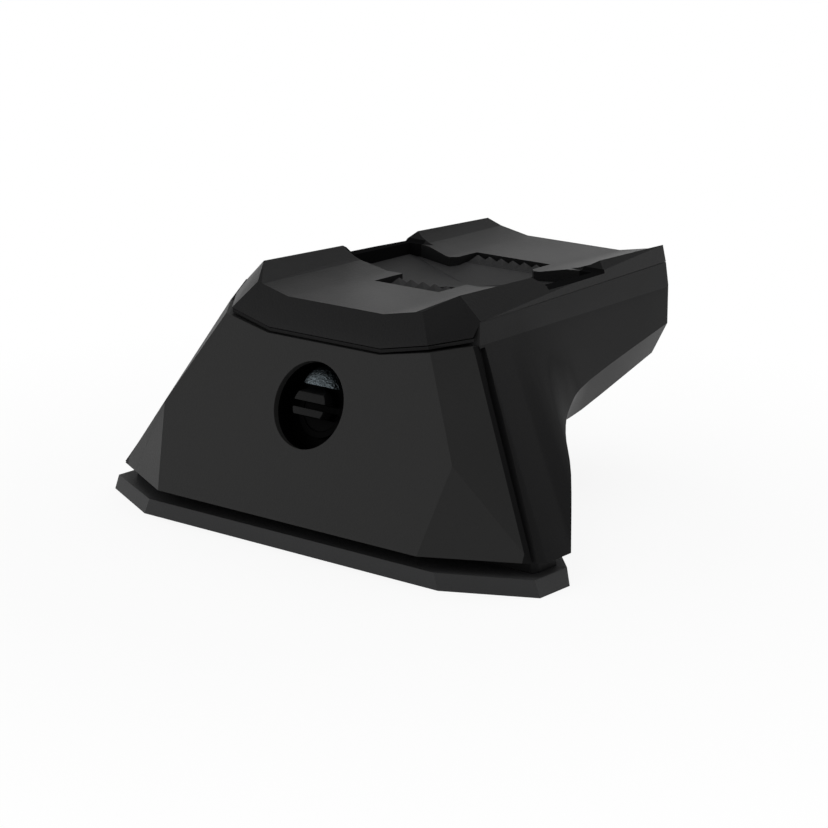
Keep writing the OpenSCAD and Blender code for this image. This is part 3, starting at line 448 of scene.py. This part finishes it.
# The guard is made with Y up the plug's face and Z out of the lock, then leant with the cover
upright = Matrix((
    (1, 0, 0, lock_mouth.x),
    (0, lock_outward.z, lock_outward.y, lock_mouth.y),
    (0, -lock_outward.y, lock_outward.z, lock_mouth.z),
    (0, 0, 0, 1),
))
dome = bmesh.new()
bmesh.ops.create_uvsphere(dome, u_segments=48, v_segments=32, radius=guard_radius)
bmesh.ops.scale(dome, vec=(1, 1, guard_squash), verts=dome.verts)
bmesh.ops.translate(dome, vec=(0, guard_up, guard_out), verts=dome.verts)
for middle, waste_side in (((0, guard_foot, 0), (0, -1, 0)), ((0, 0, guard_back), (0, 0, -1))):
    cut = bmesh.ops.bisect_plane(
        dome,
        geom=dome.verts[:] + dome.edges[:] + dome.faces[:],
        plane_co=middle,
        plane_no=waste_side,
        clear_outer=True,
    )
    rim = [edge for edge in cut["geom_cut"] if isinstance(edge, bmesh.types.BMEdge)]
    bmesh.ops.contextual_create(dome, geom=rim)
bmesh.ops.transform(dome, matrix=upright, verts=dome.verts)
bmesh.ops.recalc_face_normals(dome, faces=dome.faces)
for face in dome.faces:
    face.smooth = len(face.verts) < 5
guard_mesh = bpy.data.meshes.new("guard_dome")
dome.to_mesh(guard_mesh)
dome.free()
guard_mesh.materials.append(blasted_steel)
guard_dome = bpy.data.objects.new("guard_dome", guard_mesh)
scene.collection.objects.link(guard_dome)
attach(guard_dome, "cover")
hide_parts("lock_guard")

# --- Lock plug and cam ----------------------------------------------------------------------------
# The plug carries two ribs to turn it by, with the key slot between them. A steel cam is screwed to
# its inner end.
lock_black = moulded("lock_black", (0.0035, 0.0035, 0.0037), 0.42, 0.0006, 0.00002, specular=0.1)
# Past a set depth into the lock, the plug is painted near black and nearly without gloss: painted shade.
lit_depth = 0.0035
deep_painted_shade = beyond(lock_black, tuple(-lock_outward), lit_depth - lock_outward.dot(lock_mouth))
paint_shading(lock_black, deep_painted_shade, (0.0008, 0.0008, 0.0009), 0.02)
dress("lock_plug", lock_black, 0.0002)
for node in ("lock_cam", "cam_screw"):
    dress(node, plated_steel, 0.0002)

# --- Photographer's table -------------------------------------------------------------------------
# A plain white table top under two soft boxes. The camera, gloss and glass see it pure white a
# little way off, and with a part of its shading near the object, so that the soft shadow stays.


def seen_rays(tree):
    """One for the rays that show a thing: from the camera, in gloss and through glass."""
    rays = tree.nodes.new("ShaderNodeLightPath")
    seen = rays.outputs["Is Camera Ray"]
    for kind in ("Is Glossy Ray", "Is Transmission Ray"):
        either = tree.nodes.new("ShaderNodeMath")
        either.operation = "MAXIMUM"
        tree.links.new(seen, either.inputs[0])
        tree.links.new(rays.outputs[kind], either.inputs[1])
        seen = either.outputs["Value"]
    return seen


def white_paper():
    """The table's covering, which fades to pure white away from the object."""
    material = bpy.data.materials.new("white_paper")
    material.use_nodes = True
    nodes = material.node_tree.nodes
    shader = nodes["Principled BSDF"]
    shader.inputs["Base Color"].default_value = (0.86, 0.86, 0.86, 1)
    shader.inputs["Roughness"].default_value = 0.9
    shader.inputs["Specular IOR Level"].default_value = 0.0
    glow = add_node(material, "ShaderNodeEmission")
    place = add_node(material, "ShaderNodeTexCoord")
    reach = add_node(material, "ShaderNodeVectorMath", operation="LENGTH")
    fade = add_node(material, "ShaderNodeMapRange")
    fade.inputs["From Min"].default_value = 0.1
    fade.inputs["From Max"].default_value = 0.24
    fade.inputs["To Min"].default_value = 0.88
    fade.inputs["To Max"].default_value = 1.0
    shown = add_node(material, "ShaderNodeMath", operation="MULTIPLY")
    blend = add_node(material, "ShaderNodeMixShader")
    join_sockets(
        material,
        (place.outputs["Object"], reach.inputs["Vector"]),
        (reach.outputs["Value"], fade.inputs["Value"]),
        (seen_rays(material.node_tree), shown.inputs[0]),
        (fade.outputs["Result"], shown.inputs[1]),
        (shown.outputs["Value"], blend.inputs["Fac"]),
        (shader.outputs["BSDF"], blend.inputs[1]),
        (glow.outputs["Emission"], blend.inputs[2]),
        (blend.outputs["Shader"], nodes["Material Output"].inputs["Surface"]),
    )
    return material


table = bpy.data.meshes.new("table")
reach = 6.0
corners = [(-reach, -reach, 0), (reach, -reach, 0), (reach, reach, 0), (-reach, reach, 0)]
table.from_pydata(corners, [], [(0, 1, 2, 3)])
table.materials.append(white_paper())
table_top = bpy.data.objects.new("table_top", table)
scene.collection.objects.link(table_top)

world = bpy.data.worlds.new("white_room")
scene.world = world
world.use_nodes = True
room = world.node_tree.nodes["Background"]
room.inputs["Color"].default_value = (1, 1, 1, 1)
heading = world.node_tree.nodes.new("ShaderNodeTexCoord")
height = world.node_tree.nodes.new("ShaderNodeSeparateXYZ")
walls = world.node_tree.nodes.new("ShaderNodeMapRange")
walls.inputs["From Min"].default_value = 0.15
walls.inputs["From Max"].default_value = 0.6
walls.inputs["To Min"].default_value = 1.0
walls.inputs["To Max"].default_value = 0.15
level = world.node_tree.nodes.new("ShaderNodeMix")
level.inputs["A"].default_value = 0.62
for start, end in (
    (heading.outputs["Generated"], height.inputs["Vector"]),
    (height.outputs["Z"], walls.inputs["Value"]),
    (walls.outputs["Result"], level.inputs["B"]),
    (seen_rays(world.node_tree), level.inputs["Factor"]),
    (level.outputs["Result"], room.inputs["Strength"]),
):
    world.node_tree.links.new(start, end)


def soft_box(name, place, aim, size, power):
    lamp = bpy.data.lights.new(name, "AREA")
    lamp.shape = "RECTANGLE"
    lamp.size, lamp.size_y = size
    lamp.energy = power
    box = bpy.data.objects.new(name, lamp)
    box.location = place
    box.rotation_euler = (Vector(aim) - Vector(place)).to_track_quat("-Z", "Y").to_euler()
    scene.collection.objects.link(box)


centre = (0, 0.03, 0.035)
soft_box("overhead", (0.05, 0.25, 0.9), centre, (0.9, 0.9), 2.6)
soft_box("left_front", (-0.7, -0.6, 0.45), centre, (0.5, 0.7), 1.0)

# Camera at the photograph's angle, 727 mm from the front of the foot
azimuth, elevation, distance = math.radians(39.45), math.radians(15.16), 0.7273
focal_pixels, picture_pixels = 2733.8, 828
aim_right, aim_up, aim_point = 0.03442, 0.03629, Vector((0, -0.029, 0))
back = Vector((
    math.sin(azimuth) * math.cos(elevation),
    -math.cos(azimuth) * math.cos(elevation),
    math.sin(elevation),
))
right = Vector((math.cos(azimuth), math.sin(azimuth), 0))
up = back.cross(right)
camera_data = bpy.data.cameras.new("camera")
camera_data.sensor_width = 36.0
camera_data.lens = focal_pixels / picture_pixels * camera_data.sensor_width
camera_data.clip_start = 0.05
camera_data.clip_end = 40
camera = bpy.data.objects.new("camera", camera_data)
stand = aim_point + back * distance + right * aim_right + up * aim_up
camera.matrix_world = Matrix((
    (right.x, up.x, back.x, stand.x),
    (right.y, up.y, back.y, stand.y),
    (right.z, up.z, back.z, stand.z),
    (0, 0, 0, 1),
))
scene.collection.objects.link(camera)
scene.camera = camera

scene.view_settings.view_transform = "Standard"
